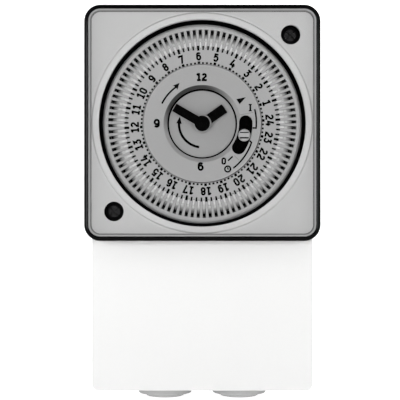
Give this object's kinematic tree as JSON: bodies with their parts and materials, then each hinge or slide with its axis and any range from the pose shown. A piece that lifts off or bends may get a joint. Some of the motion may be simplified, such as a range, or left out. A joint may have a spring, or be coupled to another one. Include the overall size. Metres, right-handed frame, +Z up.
{
  "type": "programmable timer",
  "caption": "Surface-mounted square timer with a 24-hour dial of captive switching segments, hands, override knob, clear front and terminal cover.",
  "frame": {"origin": "where the dial's axis meets the wall plane, on the flat back of the wall box", "axes": "+Z up the wall, +X to the right seen from the front, +Y into the wall; the dial faces -Y"},
  "size_m": [0.072, 0.0484, 0.1238],
  "materials": {
    "white_plastic": "fine matt moulded",
    "black_plastic": "semi-gloss moulded",
    "face_grey": "fine matt silver-grey",
    "clear_plastic": "clear polished moulding",
    "grommet_grey": "smooth soft moulding",
    "case_grey": "matt moulded",
    "dial_grey": "matt silver-grey",
    "segment_white": "satin moulded",
    "scale_grey": "matt silver-grey",
    "hand_black": "matt",
    "knob_grey": "satin moulded",
    "natural_plastic": "satin acetal",
    "dark_plastic": "matt moulded",
    "steel": "bright zinc plated",
    "black_steel": "black phosphated",
    "aluminium": "plain sheet",
    "brass": "turned and stamped",
    "lead_blue": "pvc insulation",
    "lead_brown": "pvc insulation"
  },
  "bodies": {
    "housing": {"back_box": "white_plastic", "cable_grommets": "grommet_grey", "cord_clamps": "white_plastic", "cord_clamp_screws": "steel", "earth_terminal": "brass", "earth_terminal_screw": "steel", "module_case": "case_grey", "case_screws": "steel", "bezel_frame": "black_plastic", "face_plate": "face_grey", "fixing_screws": "black_steel", "terminal_clamps": "brass", "terminal_screws": "steel", "rear_movement_plate": "aluminium", "front_movement_plate": "dark_plastic", "spacer_pillars": "brass", "movement_screws": "steel", "motor_can": "steel", "motor_end_plate": "steel", "motor_screws": "steel", "scale_plate": "scale_grey", "well_disc": "scale_grey", "feeler_spring": "steel", "feeler_clip": "steel", "switch_body": "dark_plastic", "switch_blades": "brass", "switch_screws": "steel", "motor_leads": "lead_blue", "switch_leads": "lead_brown"},
    "dial": {"dial_ring": "dial_grey", "segments_ring": "segment_white"},
    "cover_lower": {"terminal_cover": "white_plastic"},
    "cover_clear": {"clear_cover": "clear_plastic"},
    "seg_1": {"segment_1": "segment_white"},
    "seg_2": {"segment_2": "segment_white"},
    "seg_3": {"segment_3": "segment_white"},
    "seg_4": {"segment_4": "segment_white"},
    "dial_drive": {"dial_drive_wheel": "natural_plastic", "dial_drive_arbor": "steel", "dial_drive_pinion": "natural_plastic"},
    "hour": {"hour_wheel": "natural_plastic", "hour_hand": "hand_black"},
    "minute_idler": {"minute_wheel": "natural_plastic", "minute_wheel_arbor": "steel"},
    "minute": {"centre_wheel": "brass", "minute_arbor": "steel", "minute_hand": "hand_black"},
    "motor_out": {"motor_pinion": "brass"},
    "override": {"override_slider": "dark_plastic", "override_knob": "knob_grey"},
    "feeler": {"switch_feeler": "natural_plastic"},
    "plunger": {"switch_plunger": "knob_grey"}
  },
  "joints": [
    {"name": "dial_spin", "type": "hinge", "parent": "housing", "child": "dial", "pos_m": [0, -0.03, 0], "axis": [0, -1, 0], "continuous": true},
    {"name": "hour_spin", "type": "hinge", "parent": "housing", "child": "hour", "pos_m": [0, -0.03, 0], "axis": [0, -1, 0], "continuous": true},
    {"name": "minute_spin", "type": "hinge", "parent": "housing", "child": "minute", "pos_m": [0, -0.03, 0], "axis": [0, -1, 0], "continuous": true},
    {"name": "minute_idler_spin", "type": "hinge", "parent": "housing", "child": "minute_idler", "pos_m": [-0.01273, -0.03, -0.01273], "axis": [0, -1, 0], "continuous": true},
    {"name": "dial_drive_spin", "type": "hinge", "parent": "housing", "child": "dial_drive", "pos_m": [-0.01591, -0.03, 0.01591], "axis": [0, -1, 0], "continuous": true},
    {"name": "motor_spin", "type": "hinge", "parent": "housing", "child": "motor_out", "pos_m": [-0.014, -0.03, 0], "axis": [0, -1, 0], "continuous": true},
    {"name": "segment_1_switch", "type": "slide", "parent": "dial", "child": "seg_1", "axis": [-0.0867, 0, 0.9962], "range_m": [0, 0.0011]},
    {"name": "segment_2_switch", "type": "slide", "parent": "dial", "child": "seg_2", "axis": [-0.1517, 0, 0.9884], "range_m": [0, 0.0011]},
    {"name": "segment_3_switch", "type": "slide", "parent": "dial", "child": "seg_3", "axis": [-0.216, 0, 0.9764], "range_m": [0, 0.0011]},
    {"name": "segment_4_switch", "type": "slide", "parent": "dial", "child": "seg_4", "axis": [-0.2794, 0, 0.9602], "range_m": [0, 0.0011]},
    {"name": "override_turn", "type": "hinge", "parent": "housing", "child": "override", "pos_m": [0, -0.03, 0], "axis": [0, -1, 0], "range_deg": [-17, 17]},
    {"name": "feeler_swing", "type": "hinge", "parent": "housing", "child": "feeler", "pos_m": [0.0215, -0.032, 0.003], "axis": [0, -1, 0], "range_deg": [-11, 0], "deforming": ["feeler_spring"]},
    {"name": "plunger_press", "type": "slide", "parent": "housing", "child": "plunger", "axis": [0, 0, 1], "range_m": [-0.00098, 0]},
    {"name": "terminal_cover_off", "type": "slide", "parent": "housing", "child": "cover_lower", "axis": [0, -1, 0], "range_m": [0, 0.03]},
    {"name": "clear_cover_off", "type": "slide", "parent": "housing", "child": "cover_clear", "axis": [0, -1, 0], "range_m": [0, 0.02]}
  ],
  "couplings": [
    {"joint": "hour_spin", "follows": "dial_spin", "ratio": 2},
    {"joint": "minute_spin", "follows": "dial_spin", "ratio": 24},
    {"joint": "minute_idler_spin", "follows": "dial_spin", "ratio": -10},
    {"joint": "dial_drive_spin", "follows": "dial_spin", "ratio": -4},
    {"joint": "motor_spin", "follows": "dial_spin", "ratio": -144},
    {"joint": "plunger_press", "follows": "feeler_swing", "m_per_rad": 0.005}
  ]
}
